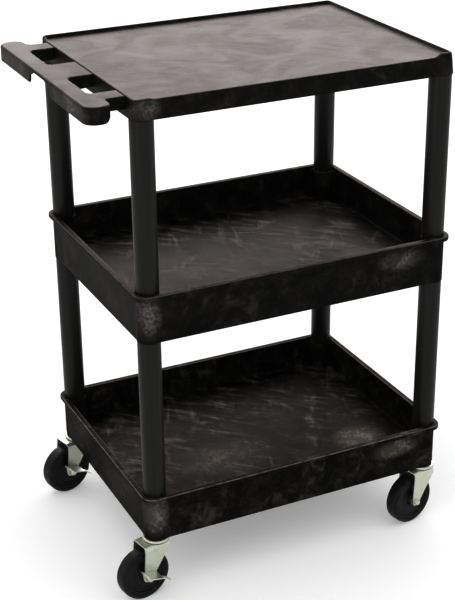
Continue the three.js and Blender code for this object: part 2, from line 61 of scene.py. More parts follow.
# ---- Driving dimensions, in millimetres ----------------------------------------------------
LEG_X, LEG_Y = 291.6, 211.5
LEG_RADIUS, LEG_BORE = 21.1, 17.7
SEAT_CLEAR = 0.6
COLUMN_RADIUS = 22.1
SPIGOT_RADIUS, SPIGOT_LENGTH = 17.4, 38.0

TUB_HEIGHT = 92.9
TUB_BASE = (312.3, 232.0)
TUB_DRAFT = 2.4
TUB_CORNER = 26.0
WALL = 5.6
SEAT_Z = 88.2
FLOOR_TOP, FLOOR_THICKNESS = 26.7, 5.0
RIM = (320.2, 239.9)
RIM_CORNER, RIM_DEPTH, RIM_ROUND = 23.0, 9.0, 2.2

SHELF_HEIGHT, DECK_Z = 40.3, 34.1
SKIRT = (312.5, 232.5)
SHELF_TOP = (307.8, 228.0)
SHELF_CORNER, LIP_CORNER = 16.0, 10.0
DECK_ROUND, LIP_ROUND = 2.0, 4.6
SKIRT_LEAN = (SKIRT[0] - SHELF_TOP[0]) / SHELF_HEIGHT
HANDLE_SIDE_LEAN = 0.35  # the skirt behind the handle stands steeper: this share of the others' lean
HANDLE_SIDE_LIP = 0.3    # and the lip above it is lower: this share of the others' height
SKIRT_WALL, HOLLOW_DRAFT, DECK_THICKNESS = 4.6, 4.0, 6.0
LIP_GATE = 276.0
RIB_THICKNESS, RIB_DEPTH = 4.0, 9.0
RIBS_ALONG_X, RIBS_ALONG_Y = 2, 6

HANDLE_TOP = SHELF_HEIGHT - 5.6
HANDLE_OUTER, GRIP_WIDTH, END_PAD = 394.0, 35.5, 46.0
HANDLE_HALF, ARM_HALF = 233.0, 194.0
FINGER_OUTER, FINGER_INNER = 150.0, 47.0
END_RADIUS, HANDLE_PLATE, HANDLE_WALL = 22.0, 4.0, 3.6
GRIP_DEPTH, ARM_DEPTH, MIDDLE_DEPTH, MIDDLE_HALF = 29.6, 22.0, 5.0, 50.0
GUSSET_DEPTH, GUSSET_HALF = 15.5, 27.0
HANDLE_GAP = 0.6

TRAIL, WHEEL_RADIUS, WHEEL_HALF = 31.7, 50.8, 15.0
HUB_RADIUS, HUB_BORE, BUSHING_RADIUS, AXLE_RADIUS = 35.0, 8.4, 8.0, 4.7
FORK_HALF, FORK_SHEET, CROWN_TOP = 20.0, 2.6, 114.0
FORK_TIP_RADIUS, FORK_TIP_END, FORK_LEAD, FORK_REAR = 8.6, -34.0, 46.0, 5.5
CASTER_HEIGHT = 122.6
STEM_RADIUS, STEM_BORE, RIVET_RADIUS, STEM_LENGTH = 5.5, 5.8, 10.0, 44.0
NUT_RADIUS, NUT_HEIGHT = 7.6, 6.4
PEDAL_SHEET, PEDAL_TILT, PEDAL_RISE = 2.0, 16.0, 9.6
PEDAL_REAR, PEDAL_FRONT, PEDAL_REACH = 18.0, 15.0, 30.0
TONGUE_LENGTH, TONGUE_WIDTH, TONGUE_DROP, TONGUE_OFFSET = 26.0, 11.0, 36.0, 12.0

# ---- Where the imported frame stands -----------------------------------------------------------
shelf_low, shelf_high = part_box("top_shelf")
PLAN = (shelf_low + shelf_high) / 2 / MM
SHELF_Z = shelf_high.z / MM - SHELF_HEIGHT
MIDDLE_TUB_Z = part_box("middle_tub")[0].z / MM + SPIGOT_LENGTH
BOTTOM_TUB_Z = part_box("bottom_tub")[0].z / MM

# ---- Mesh helpers -------------------------------------------------------------------------------
SHARP = math.radians(38)


def add_piece(name, parts, material, body, node, matrix=None):
    """One mesh object from (points in mm, faces) parts. It replaces its CAD node and rides on a body."""
    mesh = bpy.data.meshes.new(name)
    points, faces, edge_wear_and_highlight_weights = [], [], []
    for part_points, part_faces, *weights in parts:
        start = len(points)
        points.extend(tuple(map(float, point)) for point in part_points)
        faces.extend([start + index for index in face] for face in part_faces)
        edge_wear_and_highlight_weights.extend(weights[0] if weights else [0.0] * len(part_points))
    placed = [(matrix @ Vector(p) if matrix else Vector(p)) * MM for p in points]
    mesh.from_pydata(placed, [], faces)
    # The per-point weights paint lighter edge lines: partly rubbed wear, partly painted highlights.
    mesh.attributes.new("edge_wear_and_highlight", "FLOAT", "POINT").data.foreach_set("value", edge_wear_and_highlight_weights)
    bm = bmesh.new()
    bm.from_mesh(mesh)
    bmesh.ops.recalc_face_normals(bm, faces=bm.faces)
    bm.to_mesh(mesh)
    bm.free()
    mesh.shade_smooth()
    mesh.set_sharp_from_angle(angle=SHARP)
    piece = bpy.data.objects.new(name, mesh)
    bpy.context.scene.collection.objects.link(piece)
    mesh.materials.append(material)
    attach(piece, body)
    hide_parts(node)
    return piece


def soften(piece, width, segments=2, angle=30):
    bevel = piece.modifiers.new("edges", "BEVEL")
    bevel.width = width * MM
    bevel.segments = segments
    bevel.limit_method = "ANGLE"
    bevel.angle_limit = math.radians(angle)
    bevel.harden_normals = True


def loft(rings, caps=True):
    """Quads between rings of equal length: the ends are capped, or the last ring meets the first."""
    count = len(rings[0])
    points = [point for ring in rings for point in ring]
    faces = []
    last = len(rings) - 1 if caps else len(rings)
    for i in range(last):
        a, b = i * count, (i + 1) % len(rings) * count
        for k in range(count):
            n = (k + 1) % count
            faces.append((a + k, a + n, b + n, b + k))
    if caps:
        faces.append(tuple(reversed(range(count))))
        end = (len(rings) - 1) * count
        faces.append(tuple(range(end, end + count)))
    return points, faces


def paint_edge_wear_and_highlight(part, rings, wear_and_highlight_rings):
    """Marks the points of some rings, by ring index, from 0 to 1, for lighter edge lines: partly rubbed wear,
    partly painted highlights along the rounded edges.
    """
    points, faces = part
    weights = np.zeros(len(points))
    count = len(rings[0])
    for index, amount in wear_and_highlight_rings.items():
        weights[index * count:(index + 1) * count] = amount
    return points, faces, weights.tolist()


def lathe(profile, sides=96, centre=(0, 0, 0)):
    """A (radius, z) profile turned about the vertical axis; points on the axis become one vertex."""
    angles = np.arange(sides) * 2 * math.pi / sides
    points, faces, starts = [], [], []
    for radius, z in profile:
        starts.append(len(points))
        if radius < 1e-6:
            points.append((centre[0], centre[1], centre[2] + z))
        else:
            for angle in angles:
                x, y = radius * math.cos(angle), radius * math.sin(angle)
                points.append((centre[0] + x, centre[1] + y, centre[2] + z))
    closed = profile[0][0] > 1e-6
    for i in range(len(profile) if closed else len(profile) - 1):
        j = (i + 1) % len(profile)
        on_axis_i, on_axis_j = profile[i][0] < 1e-6, profile[j][0] < 1e-6
        for k in range(sides):
            n = (k + 1) % sides
            a, b = starts[i] + (0 if on_axis_i else k), starts[i] + (0 if on_axis_i else n)
            c, d = starts[j] + (0 if on_axis_j else n), starts[j] + (0 if on_axis_j else k)
            face = (a, d, c) if on_axis_i else (a, b, d) if on_axis_j else (a, b, c, d)
            if not (on_axis_i and on_axis_j):
                faces.append(face)
    return points, faces


def round_corners(corners, steps=5):
    """A closed polygon from (x, y, radius) corners, each corner turned into an arc of its radius."""
    points = []
    count = len(corners)
    for i, (x, y, radius) in enumerate(corners):
        here = np.array((x, y), float)
        if radius <= 0:
            points.append(here)
            continue
        before = np.array(corners[i - 1][:2], float) - here
        after = np.array(corners[(i + 1) % count][:2], float) - here
        before /= np.linalg.norm(before)
        after /= np.linalg.norm(after)
        half = math.acos(np.clip(before @ after, -1, 1)) / 2
        reach = radius / math.tan(half)
        centre = here + (before + after) / np.linalg.norm(before + after) * radius / math.sin(half)
        start, end = here + before * reach - centre, here + after * reach - centre
        turn = math.atan2(start[0] * end[1] - start[1] * end[0], start @ end)
        for k in range(steps + 1):
            angle = turn * k / steps
            c, s = math.cos(angle), math.sin(angle)
            points.append(centre + (start[0] * c - start[1] * s, start[0] * s + start[1] * c))
    return np.array(points)


def turned_across(points_faces):
    """Turns parts made about Z so that their axis lies along Y."""
    points, faces = points_faces
    return [(x, z, -y) for x, y, z in points], faces


def thick_sheet(grid, thickness):
    """A closed sheet from a (rows, columns, 3) grid, thickened against the cross product of the two."""
    grid = np.asarray(grid, float)
    along = np.gradient(grid, axis=0)
    across = np.gradient(grid, axis=1)
    normal = np.cross(along, across)
    normal /= np.linalg.norm(normal, axis=2, keepdims=True)
    other = grid - normal * thickness
    rows, columns = grid.shape[:2]
    points = np.vstack([grid.reshape(-1, 3), other.reshape(-1, 3)])
    shift = rows * columns
    faces = []
    for i in range(rows - 1):
        for j in range(columns - 1):
            a = i * columns + j
            quad = (a, a + 1, a + 1 + columns, a + columns)
            faces.append(quad)
            faces.append(tuple(shift + k for k in reversed(quad)))
    border = [j for j in range(columns)]
    border += [i * columns + columns - 1 for i in range(1, rows)]
    border += [(rows - 1) * columns + j for j in range(columns - 2, -1, -1)]
    border += [i * columns for i in range(rows - 2, 0, -1)]
    for a, b in zip(border, border[1:] + border[:1]):
        faces.append((a, b, b + shift, a + shift))
    return points, faces


def smooth(value, low, high):
    t = np.clip((value - low) / (high - low), 0, 1)
    return t * t * (3 - 2 * t)


# ---- Shelf outlines ---------------------------------------------------------------------------
SIDE_STEPS, NEAR_STEPS, ARC_STEPS = 10, 12, 18
CORNER_ZONE = 40.0  # an outline's corner stretch starts this far before the leg's centre
LEG = np.array((LEG_X, LEG_Y))


def whole(quarter):
    """The four-fold outline of a quarter that runs from the +X wall's middle to the +Y wall's middle."""
    flip_x, flip_y = np.array((-1, 1)), np.array((1, -1))
    return np.vstack([
        quarter[:-1],
        (quarter * flip_x)[::-1][:-1],
        -quarter[:-1],
        (quarter * flip_y)[::-1][:-1],
    ])


def with_sides(corner, half):
    ys = np.linspace(0, LEG_Y - CORNER_ZONE, SIDE_STEPS, endpoint=False)
    xs = np.linspace(0, LEG_X - CORNER_ZONE, SIDE_STEPS, endpoint=False)[::-1]
    along_x = np.column_stack([np.full(SIDE_STEPS, half[0]), ys])
    along_y = np.column_stack([xs, np.full(SIDE_STEPS, half[1])])
    return whole(np.vstack([along_x, corner, along_y]))


def rounded(half, radius, bulge=0.0):
    """A rounded rectangle, pushed out to a circle of the bulge's radius around each leg."""
    radius = max(radius, 2.0)
    centre = np.array(half) - radius
    angles = np.linspace(0, math.pi / 2, ARC_STEPS + 1)
    arc = centre + radius * np.column_stack([np.cos(angles), np.sin(angles)])
    ys = np.linspace(LEG_Y - CORNER_ZONE, centre[1], NEAR_STEPS, endpoint=False)
    xs = np.linspace(LEG_X - CORNER_ZONE, centre[0], NEAR_STEPS, endpoint=False)[::-1]
    before = np.column_stack([np.full(NEAR_STEPS, half[0]), ys])
    after = np.column_stack([xs, np.full(NEAR_STEPS, half[1])])
    corner = np.vstack([before, arc, after])
    if bulge:
        away = corner - LEG
        distance = np.linalg.norm(away, axis=1, keepdims=True)
        corner = LEG + away / distance * np.maximum(distance, bulge)
    return with_sides(corner, half)


def around_columns(half, radius, fillet=6.0):
    """A rectangle whose corners go round the inside of the leg columns, with a fillet on each side."""
    reach = radius + fillet
    x_centre = np.array((half[0] - fillet, LEG_Y - math.sqrt(reach ** 2 - (half[0] - fillet - LEG_X) ** 2)))
    y_centre = np.array((LEG_X - math.sqrt(reach ** 2 - (half[1] - fillet - LEG_Y) ** 2), half[1] - fillet))
    straight, bend = NEAR_STEPS // 3, NEAR_STEPS - NEAR_STEPS // 3
    to_x, to_y = x_centre - LEG, y_centre - LEG
    first, last = math.atan2(to_x[1], to_x[0]), math.atan2(to_y[1], to_y[0])
    if last > first:
        last -= 2 * math.pi

    def arc(centre, r, start, end, count, endpoint):
        angles = np.linspace(start, end, count, endpoint=endpoint)
        return centre + r * np.column_stack([np.cos(angles), np.sin(angles)])

    ys = np.linspace(LEG_Y - CORNER_ZONE, x_centre[1], straight, endpoint=False)
    xs = np.linspace(y_centre[0], LEG_X - CORNER_ZONE, straight + 1)[1:]
    corner = np.vstack([
        np.column_stack([np.full(straight, half[0]), ys]),
        arc(x_centre, fillet, 0, first + math.pi, bend, False),
        arc(LEG, radius, first, last, ARC_STEPS + 1, True),
        arc(y_centre, fillet, last + math.pi, math.pi / 2, bend + 1, True)[1:],
        np.column_stack([xs, np.full(straight, half[1])]),
    ])
    return with_sides(corner, half)


def level(outline, z):
    return np.column_stack([outline, np.broadcast_to(z, len(outline))])


def grown(half, by):
    return half[0] + by, half[1] + by


def shifted(part, x, y, z):
    points, faces = part
    return [(p[0] + x, p[1] + y, p[2] + z) for p in points], faces


def bar(x0, x1, y0, y1, z0, z1, edge=0.6):
    """A rib: a straight bar whose lower edges are chamfered."""
    def ring(inset, z):
        corners = ((x0, y0), (x1, y0), (x1, y1), (x0, y1))
        middle = ((x0 + x1) / 2, (y0 + y1) / 2)
        return [
            (x + math.copysign(inset, middle[0] - x), y + math.copysign(inset, middle[1] - y), z)
            for x, y in corners
        ]
    return loft([ring(edge, z0), ring(0, z0 + edge), ring(0, z1)])


def ribs(half, floor_z):
    bars = []
    side = RIB_THICKNESS / 2
    low, high = floor_z - RIB_DEPTH, floor_z + 1
    for i in range(RIBS_ALONG_X):
        y = half[1] * (2 * (i + 1) / (RIBS_ALONG_X + 1) - 1)
        bars.append(bar(-half[0], half[0], y - side, y + side, low, high))
    for i in range(RIBS_ALONG_Y):
        x = half[0] * (2 * (i + 1) / (RIBS_ALONG_Y + 1) - 1)
        bars.append(bar(x - side, x + side, -half[1], half[1], low + 0.05, high))
    return bars


def spigots(z0, z1):
    """Round plugs that stand out of the corners, with a chamfered free end."""
    tip = 2.0
    free, root = (z0, z1) if z0 < 0 else (z1, z0)
    inward = tip if free < root else -tip
    profile = [
        (0, free), (SPIGOT_RADIUS - tip, free), (SPIGOT_RADIUS, free + inward),
        (SPIGOT_RADIUS, root), (0, root),
    ]
    return [shifted(lathe(profile, 48), sx * LEG_X, sy * LEG_Y, 0) for sx in (-1, 1) for sy in (-1, 1)]


def arc_offsets(radius, steps=4):
    """(inset, drop) pairs of a quarter round, from the side face up to the top face."""
    angles = np.linspace(0, math.pi / 2, steps + 1)
    return [(radius * (1 - math.cos(a)), radius * (1 - math.sin(a))) for a in angles]


def tub_shell():
    """One closed surface: underside hollow, outer wall, rolled rim, leg seats, tray wall and floor."""
    def outer_half(z):
        return grown(TUB_BASE, TUB_DRAFT * min(z / (TUB_HEIGHT - RIM_DEPTH), 1))

    def tray_half(z):
        return grown(TUB_BASE, -WALL + TUB_DRAFT * (z - FLOOR_TOP) / (TUB_HEIGHT - FLOOR_TOP))

    edge = 0.8
    hollow = grown(TUB_BASE, -WALL)
    ceiling = FLOOR_TOP - FLOOR_THICKNESS
    rings = [
        level(around_columns(grown(hollow, -9), COLUMN_RADIUS + 9), ceiling),
        level(around_columns(grown(hollow, -2), COLUMN_RADIUS + 2), ceiling),
        level(around_columns(grown(hollow, -0.6), COLUMN_RADIUS + 0.6), ceiling - 0.6),
        level(around_columns(hollow, COLUMN_RADIUS), ceiling - 2),
        level(around_columns(hollow, COLUMN_RADIUS), edge),
        level(around_columns(grown(hollow, edge), COLUMN_RADIUS - edge), 0),
        level(rounded(grown(TUB_BASE, -edge), TUB_CORNER - edge, COLUMN_RADIUS - edge), 0),
    ]
    rim_z = TUB_HEIGHT - RIM_DEPTH
    for z in (edge, 4, 20, 40, 60, rim_z - 3.4, rim_z - 1.6):
        rings.append(level(rounded(outer_half(z), TUB_CORNER, COLUMN_RADIUS), z))
    top = outer_half(rim_z)
    rings.append(level(rounded(grown(top, 0.5), TUB_CORNER - 2, COLUMN_RADIUS), rim_z - 0.5))
    rings.append(level(rounded(grown(top, 1.6), TUB_CORNER - 4, COLUMN_RADIUS + 1), rim_z))
    for inset, drop in ((1.3, 0), (0.4, 0.4), (0, 1.3)):
        rings.append(level(rounded(grown(RIM, -inset), RIM_CORNER - inset), rim_z + drop))
    outer_edge = len(rings)
    for inset, drop in arc_offsets(RIM_ROUND):
        rings.append(level(rounded(grown(RIM, -inset), RIM_CORNER - inset), TUB_HEIGHT - drop))
    seat_radius = LEG_RADIUS + SEAT_CLEAR
    inner = tray_half(TUB_HEIGHT)
    inner_edge = len(rings)
    for inset, drop in reversed(arc_offsets(1.8)):
        outline = rounded(grown(inner, inset), TUB_CORNER - WALL, seat_radius + inset)
        rings.append(level(outline, TUB_HEIGHT - drop))
    seat_half = tray_half(SEAT_Z)
    seat_outline = rounded(seat_half, TUB_CORNER - WALL, seat_radius)
    rings.append(level(seat_outline, SEAT_Z))
    column_top = around_columns(seat_half, COLUMN_RADIUS - edge)
    spread = np.linalg.norm(column_top - seat_outline, axis=1)
    rings.append(level(column_top, SEAT_Z - 0.4 * (1 - smooth(spread, 0, 4))))
    rings.append(level(around_columns(seat_half, COLUMN_RADIUS), SEAT_Z - edge))
    for z in (70, 50, FLOOR_TOP + 5):
        rings.append(level(around_columns(tray_half(z), COLUMN_RADIUS), z))
    for inset, drop in arc_offsets(5)[1:]:
        outline = around_columns(grown(tray_half(FLOOR_TOP), -inset), COLUMN_RADIUS + inset)
        rings.append(level(outline, FLOOR_TOP + drop))
    rings.append(level(around_columns(grown(tray_half(FLOOR_TOP), -9), COLUMN_RADIUS + 9), FLOOR_TOP))
    # Painted highlight lines on the rim's outer and inner rounded edges, partly rubbed wear.
    wear_and_highlight_rings = {outer_edge + 1: 0.7, outer_edge + 2: 1, outer_edge + 3: 0.8}
    wear_and_highlight_rings |= {inner_edge + 1: 0.7, inner_edge + 2: 1, inner_edge + 3: 0.6}
    return paint_edge_wear_and_highlight(loft(rings), rings, wear_and_highlight_rings)


def lip_share(outline):
    """How much of the lip stands at each point: none along most of the front, less on the handle's side."""
    front = smooth(-outline[:, 1], SHELF_TOP[1] - 30, SHELF_TOP[1] - 16)
    open_part = 1 - smooth(np.abs(outline[:, 0]), LIP_GATE - 8, LIP_GATE + 9)
    handle_side = smooth(-outline[:, 0], SHELF_TOP[0] - 60, SHELF_TOP[0] - 12)
    handle_side *= 1 - smooth(outline[:, 1], SHELF_TOP[1] - 22, SHELF_TOP[1] - 7)
    return (1 - front * open_part) * (1 - (1 - HANDLE_SIDE_LIP) * handle_side)


def steepened(ring):
    """Moves a ring of the shelf's outside to the steeper skirt on the handle's side."""
    moved = np.array(ring)
    lean = (1 - HANDLE_SIDE_LEAN) * SKIRT_LEAN * np.clip(ring[:, 2], 0, SHELF_HEIGHT)
    moved[:, 0] -= lean * smooth(-ring[:, 0], 0, SHELF_TOP[0] - 20)
    return moved


def shelf_half(z):
    """Half sizes of the top shelf's outside at a height above its skirt's lower edge."""
    return grown(SKIRT, -SKIRT_LEAN * z)


def shelf_shell():
    """One closed surface: underside hollow, flared skirt, lip on three sides and the deck."""
    edge = 0.8
    ceiling = DECK_Z - DECK_THICKNESS

    def hollow_half(z):
        return grown(SKIRT, -SKIRT_WALL - HOLLOW_DRAFT * z / ceiling)

    rings = [
        level(around_columns(grown(hollow_half(ceiling), -9), LEG_RADIUS + 9, 5), ceiling),
        level(around_columns(grown(hollow_half(ceiling), -2), LEG_RADIUS + 2, 5), ceiling),
        level(around_columns(hollow_half(ceiling - 2), LEG_RADIUS, 5), ceiling - 2),
        level(around_columns(hollow_half(edge), LEG_RADIUS, 5), edge),
        level(around_columns(grown(hollow_half(0), edge), LEG_RADIUS - edge, 5), 0),
        level(rounded(grown(SKIRT, -edge), SHELF_CORNER - edge), 0),
    ]
    rise = SHELF_HEIGHT - DECK_Z
    for z in (edge, 8, 16, 24):
        corner = SHELF_CORNER + (LIP_CORNER - SHELF_CORNER) * z / SHELF_HEIGHT
        rings.append(steepened(level(rounded(shelf_half(z), corner), z)))

    def lip_ring(inset, height_share):
        outline = rounded(grown(SHELF_TOP, -inset), LIP_CORNER - inset)
        return steepened(level(outline, DECK_Z + rise * height_share * lip_share(outline)))

    def edge_ring(angle):
        """The outer edge: rounded wide where the lip stands and narrow along the front."""
        flat = rounded(SHELF_TOP, LIP_CORNER)
        radius = DECK_ROUND + (LIP_ROUND - DECK_ROUND) * lip_share(flat)
        near, far = flat, rounded(grown(SHELF_TOP, -LIP_ROUND), LIP_CORNER - LIP_ROUND)
        moved = near + (far - near) * (radius / LIP_ROUND * (1 - math.cos(angle)))[:, None]
        return steepened(level(moved, DECK_Z + rise * lip_share(flat) - radius * (1 - math.sin(angle))))

    outer_edge = len(rings)
    rings += [edge_ring(angle) for angle in np.linspace(0, math.pi / 2, 7)]
    for inset, share in ((5.2, 0.97), (5.9, 0.8), (7.3, 0.22), (8, 0.06), (9, 0), (13, 0)):
        rings.append(lip_ring(inset, share))
    # A painted highlight line on the lip's rounded outer edge, partly rubbed wear.
    return paint_edge_wear_and_highlight(loft(rings), rings, {outer_edge + 3: 0.5, outer_edge + 4: 0.9, outer_edge + 5: 0.6})


# ---- Push handle ----------------------------------------------------------------------------------
def handle_outline():
    """The handle's plan, anticlockwise: a grip bar with padded ends and three arms to the shelf."""
    outer, grip = -HANDLE_OUTER, -HANDLE_OUTER + GRIP_WIDTH
    pad, near, end = -HANDLE_OUTER + END_PAD, -SKIRT[0] - 2, -SHELF_TOP[0] + 6
    corners = [
        (end, ARM_HALF, 0), (near, ARM_HALF, 0),
        (pad, ARM_HALF, 15), (pad + 1, HANDLE_HALF, END_RADIUS), (outer, HANDLE_HALF, END_RADIUS),
    ]
    hook = [MIDDLE_HALF + step for step in (6, 3, 1.5, 0.5, -12)] + [GUSSET_HALF]
    corners += [(outer, y, 0) for y in (140, 80, *hook, 0)]
    corners += [(outer, -y, 0) for y in (*reversed(hook), 80, 140)]
    corners += [
        (outer, -HANDLE_HALF, END_RADIUS), (pad + 3, -HANDLE_HALF, 25), (pad + 3, -ARM_HALF, 2.5),
        (near, -ARM_HALF, 0), (end, -ARM_HALF, 0), (end, -FINGER_OUTER, 0), (near, -FINGER_OUTER, 0),
        (grip, -FINGER_OUTER, 9), (grip, -MIDDLE_HALF - 14, 0), (grip, -FINGER_INNER, 9),
        (near, -FINGER_INNER, 0), (end, -FINGER_INNER, 0), (end, 0, 0), (end, FINGER_INNER, 0),
        (near, FINGER_INNER, 0), (grip, FINGER_INNER, 9), (grip, MIDDLE_HALF + 14, 0),
        (grip, FINGER_OUTER, 9), (near, FINGER_OUTER, 0), (end, FINGER_OUTER, 0),
    ]
    return round_corners(corners, 7)


def inset_outline(outline, by):
    """The outline moved inwards by a distance, along the mean normal of each point's two edges."""
    ahead = np.roll(outline, -1, axis=0) - outline
    ahead /= np.linalg.norm(ahead, axis=1, keepdims=True)
    behind = np.roll(ahead, 1, axis=0)
    inward = np.column_stack([-(ahead + behind)[:, 1], (ahead + behind)[:, 0]])
    inward /= np.linalg.norm(inward, axis=1, keepdims=True)
    straight = np.sum(inward * np.column_stack([-ahead[:, 1], ahead[:, 0]]), axis=1)
    return outline + inward * (by / np.clip(straight, 0.5, 1))[:, None]


def handle_shell():
    """Flat top, rounded edges, skirts of three depths and a hollow underside; z = 0 is the top face."""
    plan = handle_outline()
    grip_inner = -HANDLE_OUTER + GRIP_WIDTH
    arm = smooth(plan[:, 0], grip_inner + 1, grip_inner + 14)
    depth = GRIP_DEPTH + (ARM_DEPTH - GRIP_DEPTH) * arm
    stations = np.array((GUSSET_HALF, MIDDLE_HALF + 0.5, MIDDLE_HALF + 1.5, MIDDLE_HALF + 3, MIDDLE_HALF + 6))
    depths = np.array((MIDDLE_DEPTH, GUSSET_DEPTH, GRIP_DEPTH - 6, GRIP_DEPTH - 2, GRIP_DEPTH))
    outer_side = plan[:, 0] < grip_inner - 8
    depth = np.where(outer_side, np.interp(np.abs(plan[:, 1]), stations, depths), depth)

    def ring(inset, z):
        flat = inset_outline(plan, inset)
        skirt_x = SKIRT[0] - HANDLE_SIDE_LEAN * SKIRT_LEAN * (np.broadcast_to(z, len(flat)) + HANDLE_TOP)
        x = np.minimum(flat[:, 0], -skirt_x - HANDLE_GAP)
        return np.column_stack([x, flat[:, 1], np.broadcast_to(z, len(flat))])

    foot, edge = 0.8, 4.6
    rings = [
        ring(HANDLE_WALL + 1.2, -HANDLE_PLATE),
        ring(HANDLE_WALL, np.minimum(-HANDLE_PLATE - 0.5, -depth + foot)),
        ring(HANDLE_WALL - foot, -depth),
        ring(foot, -depth),
        ring(0, -depth + foot),
        ring(0, -edge - 0.3),
    ]
    for inset, drop in arc_offsets(edge, 6)[1:]:
        rings.append(ring(inset, -drop))
    return loft(rings)


# ---- Legs -----------------------------------------------------------------------------------------
def leg_tube(z0, z1):
    edge = 0.7
    corners = [(LEG_BORE, z0, edge), (LEG_RADIUS, z0, edge), (LEG_RADIUS, z1, edge), (LEG_BORE, z1, edge)]
    return lathe(round_corners(corners, 3), 96)


# ---- Casters, in the caster's own frame: swivel axis at x = 0, wheel towards -X --------------------
def caster_stem():
    head_z = CROWN_TOP - FORK_SHEET - 0.3
    top = CASTER_HEIGHT + STEM_LENGTH
    dome = [(RIVET_RADIUS * math.sin(a), head_z - 3 * math.cos(a)) for a in np.linspace(0, math.pi / 2, 7)]
    shaft = [(STEM_RADIUS, head_z), (STEM_RADIUS, top - 3), (STEM_RADIUS - 0.9, top - 1)]
    return lathe([*dome, *shaft, (3.5, top), (0, top)], 48)


def swivel_cup():
    top, lip, outer, inner = CASTER_HEIGHT - 0.3, 117.6, 25.9, 23.6
    ceiling = top - 2.2
    corners = [
        (STEM_BORE, top, 0.3), (outer, top, 2.4), (outer, lip, 0.9), (inner, lip, 0.9),
        (inner, ceiling, 1.2), (STEM_BORE, ceiling, 0.3),
    ]
    return lathe(round_corners(corners, 6), 96)


def ball_race():
    """A cage ring with its steel balls."""
    middle, height, ball, count = 16.5, 117.5, 2.0, 14
    cage = [(middle - 2.6, height - 0.4, 0.2), (middle + 2.6, height - 0.4, 0.2),
            (middle + 2.6, height + 0.4, 0.2), (middle - 2.6, height + 0.4, 0.2)]
    parts = [lathe(round_corners(cage, 2), 72)]
    meridian = [(ball * math.sin(a), -ball * math.cos(a)) for a in np.linspace(0, math.pi, 11)]
    meridian[0], meridian[-1] = (0, -ball), (0, ball)
    for i in range(count):
        angle = 2 * math.pi * i / count
        parts.append(lathe(meridian, 16, (middle * math.cos(angle), middle * math.sin(angle), height)))
    return parts


def fork_limits(z):
    """The fork side's trailing and leading edges at a height."""
    tip_z, r = WHEEL_RADIUS, FORK_TIP_RADIUS
    start = math.radians(FORK_TIP_END)
    lead = (-TRAIL + r * math.cos(start), tip_z + r * math.sin(start))
    shoulder = (-TRAIL + FORK_LEAD, CROWN_TOP - 10)
    if z < tip_z:
        rear = -TRAIL - math.sqrt(max(r * r - (tip_z - z) ** 2, 0))
    else:
        share = min((z - tip_z) / (CROWN_TOP - 8 - tip_z), 1)
        rear = -TRAIL - r + share ** 1.6 * (r - FORK_REAR)
    if z < lead[1]:
        front = -TRAIL + math.sqrt(max(r * r - (tip_z - z) ** 2, 0))
    else:
        share = min((z - lead[1]) / (shoulder[1] - lead[1]), 1)
        front = lead[0] + share * (shoulder[0] - lead[0])
    return rear, front


def caster_fork():
    """Bent sheet: two tapering sides joined by a crown, and the raised ring that the balls run on.

    Known fault: the sheet is thickened outwards, to FORK_SHEET beyond FORK_HALF and CROWN_TOP.
    """
    bend = 5.5
    low = WHEEL_RADIUS - FORK_TIP_RADIUS + 0.15
    tip_heights = [low + 0.35 * i * i for i in range(5)]
    heights = tip_heights + list(np.linspace(tip_heights[-1] + 2.6, CROWN_TOP - bend, 14))
    section = [(-FORK_HALF, z) for z in heights]
    for a in np.linspace(0, math.pi / 2, 7)[1:]:
        section.append((-FORK_HALF + bend * (1 - math.cos(a)), CROWN_TOP - bend * (1 - math.sin(a))))
    half_count = len(section)
    section += [(y, CROWN_TOP) for y in np.linspace(-FORK_HALF + bend, FORK_HALF - bend, 9)[1:-1]]
    section += [(-y, z) for y, z in reversed(section[:half_count])]
    shares = (0, 0.04, 0.12, 0.3, 0.5, 0.7, 0.88, 0.96, 1)
    grid = []
    for y, z in section:
        rear, front = fork_limits(z)
        front_round = 4.5 * (1 - smooth(abs(y), 0, FORK_HALF))
        if z > CROWN_TOP - bend:
            front += front_round
        grid.append([(rear + share * (front - rear), y, z) for share in shares])
    under, ridge, groove = CROWN_TOP - FORK_SHEET, CROWN_TOP + 1, CROWN_TOP + 0.4
    crown = [
        (STEM_BORE, under, 0.2), (23.2, under, 0.6), (24.5, CROWN_TOP - 1.4, 0.8), (24.5, ridge, 0.8),
        (22.4, ridge, 0.5), (21.2, groove, 0.5), (12.6, groove, 0.4), (11.4, ridge, 0.4),
        (STEM_BORE, ridge, 0.2),
    ]
    return [thick_sheet(grid, FORK_SHEET), lathe(round_corners(crown, 3), 96)]


def mirrored_profile(half):
    """A closed (radius, y) profile from its +Y half, listed from the bore outwards, with corner radii."""
    return [*half, *[(radius, -y, r) for radius, y, r in reversed(half)]]


def wheel_tyre():
    """Solid tyre: rounded tread shoulders and a shallow groove and bead on each side."""
    r, w = WHEEL_RADIUS, WHEEL_HALF
    half = [
        (HUB_RADIUS + 0.3, w - 1.9, 0.4), (HUB_RADIUS + 1.6, w - 1.2, 0.5), (r - 11.5, w - 0.6, 0.6),
        (r - 10.6, w - 1.5, 0.4), (r - 9.4, w - 1.5, 0.4), (r - 8.6, w - 0.2, 0.6), (r - 5.6, w, 2.2),
        (r - 1.2, w - 2.6, 2.6), (r, w - 7.5, 2.0),
    ]
    return turned_across(lathe(round_corners(mirrored_profile(half), 4), 128))


def wheel_hub():
    """Moulded wheel centre: a dished web between a raised boss and an outer ring."""
    web = WHEEL_HALF - 4.4
    boss = FORK_HALF - FORK_SHEET - 1
    half = [
        (HUB_BORE, boss, 0.3), (12.8, boss, 0.9), (14.4, web, 1.6), (29.5, web - 0.6, 1.2),
        (31, WHEEL_HALF - 3.2, 0.8), (HUB_RADIUS, WHEEL_HALF - 3, 0.6),
    ]
    return turned_across(lathe(round_corners(mirrored_profile(half), 4), 96))


